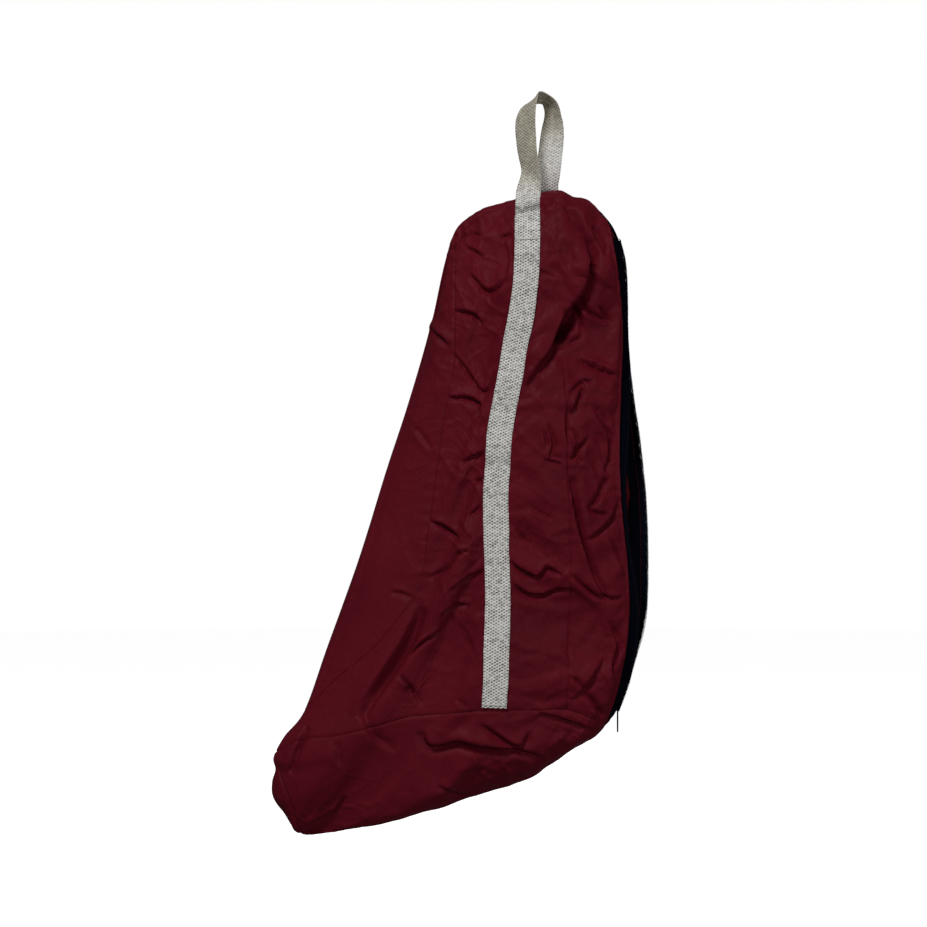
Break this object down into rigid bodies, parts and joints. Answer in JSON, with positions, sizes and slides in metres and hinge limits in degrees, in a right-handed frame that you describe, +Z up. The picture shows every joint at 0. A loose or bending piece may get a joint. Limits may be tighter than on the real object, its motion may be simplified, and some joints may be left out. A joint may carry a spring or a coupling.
{
  "type": "boot-shaped soft travel case",
  "caption": "Boot-shaped soft travel case of thin nylon, with webbing sewn up each side into a carry loop and a long open zip down the back edge.",
  "frame": {"origin": "apex of the carry loop, where a hand or hook holds the hanging case", "axes": "+Z up, +X towards the zip and the heel, -X towards the toe, -Y the near side that the webbing is seen on"},
  "size_m": [0.3798, 0.1038, 0.7423],
  "materials": {
    "nylon": "thin plain-weave nylon, soft sheen",
    "webbing": "coarse cotton webbing, slightly soiled",
    "binding": "bias binding",
    "zip_tape": "woven twill tape",
    "zip_coil": "monofilament coil",
    "zip_metal": "dark enamel",
    "thread": "sewing thread"
  },
  "bodies": {
    "loop": {"carry_loop": "webbing"},
    "bag": {"side_panel_near": "nylon", "side_panel_far": "nylon", "front_gusset": "nylon", "top_gusset": "nylon", "foot_panel_near": "nylon", "foot_panel_far": "nylon", "sole_panel": "nylon", "back_panel_ends_near": "nylon", "back_panel_ends_far": "nylon", "strap_near": "webbing", "strap_far": "webbing", "front_seam_binding_near": "binding", "front_seam_binding_far": "binding", "rear_seam_binding_near": "binding", "rear_seam_binding_far": "binding", "foot_seam_binding_near": "binding", "foot_seam_binding_far": "binding", "zip_tape_ends_near": "zip_tape", "zip_tape_ends_far": "zip_tape", "zip_coil_ends_near": "zip_coil", "zip_coil_ends_far": "zip_coil", "zip_top_stops": "zip_metal", "zip_bottom_stop": "zip_metal", "strap_bar_tacks": "thread"},
    "near_flap": {"back_panel_near": "nylon", "zip_tape_near": "zip_tape", "zip_coil_near": "zip_coil"},
    "far_flap": {"back_panel_far": "nylon", "zip_tape_far": "zip_tape", "zip_coil_far": "zip_coil"},
    "slider": {"slider_body": "zip_metal", "slider_bridge": "zip_metal"},
    "pull": {"pull_tab": "zip_metal"}
  },
  "joints": [
    {"name": "bag_swing", "type": "hinge", "parent": "loop", "child": "bag", "pos_m": [0, 0, -0.096], "axis": [1, 0, 0], "range_deg": [-80, 80]},
    {"name": "near_flap_open", "type": "hinge", "parent": "bag", "child": "near_flap", "pos_m": [0.0255, -0.0446, -0.373], "axis": [0, 0, -1], "range_deg": [0, 55]},
    {"name": "far_flap_open", "type": "hinge", "parent": "bag", "child": "far_flap", "pos_m": [0.0255, 0.0446, -0.373], "axis": [0, 0, 1], "range_deg": [0, 55]},
    {"name": "slider_slide", "type": "slide", "parent": "bag", "child": "slider", "axis": [0.3417, 0, 0.9398], "range_m": [0, 0.03]},
    {"name": "pull_tab_swing", "type": "hinge", "parent": "slider", "child": "pull", "pos_m": [0.07659, 0, -0.61725], "axis": [0, -1, 0], "range_deg": [-12, 95]}
  ]
}
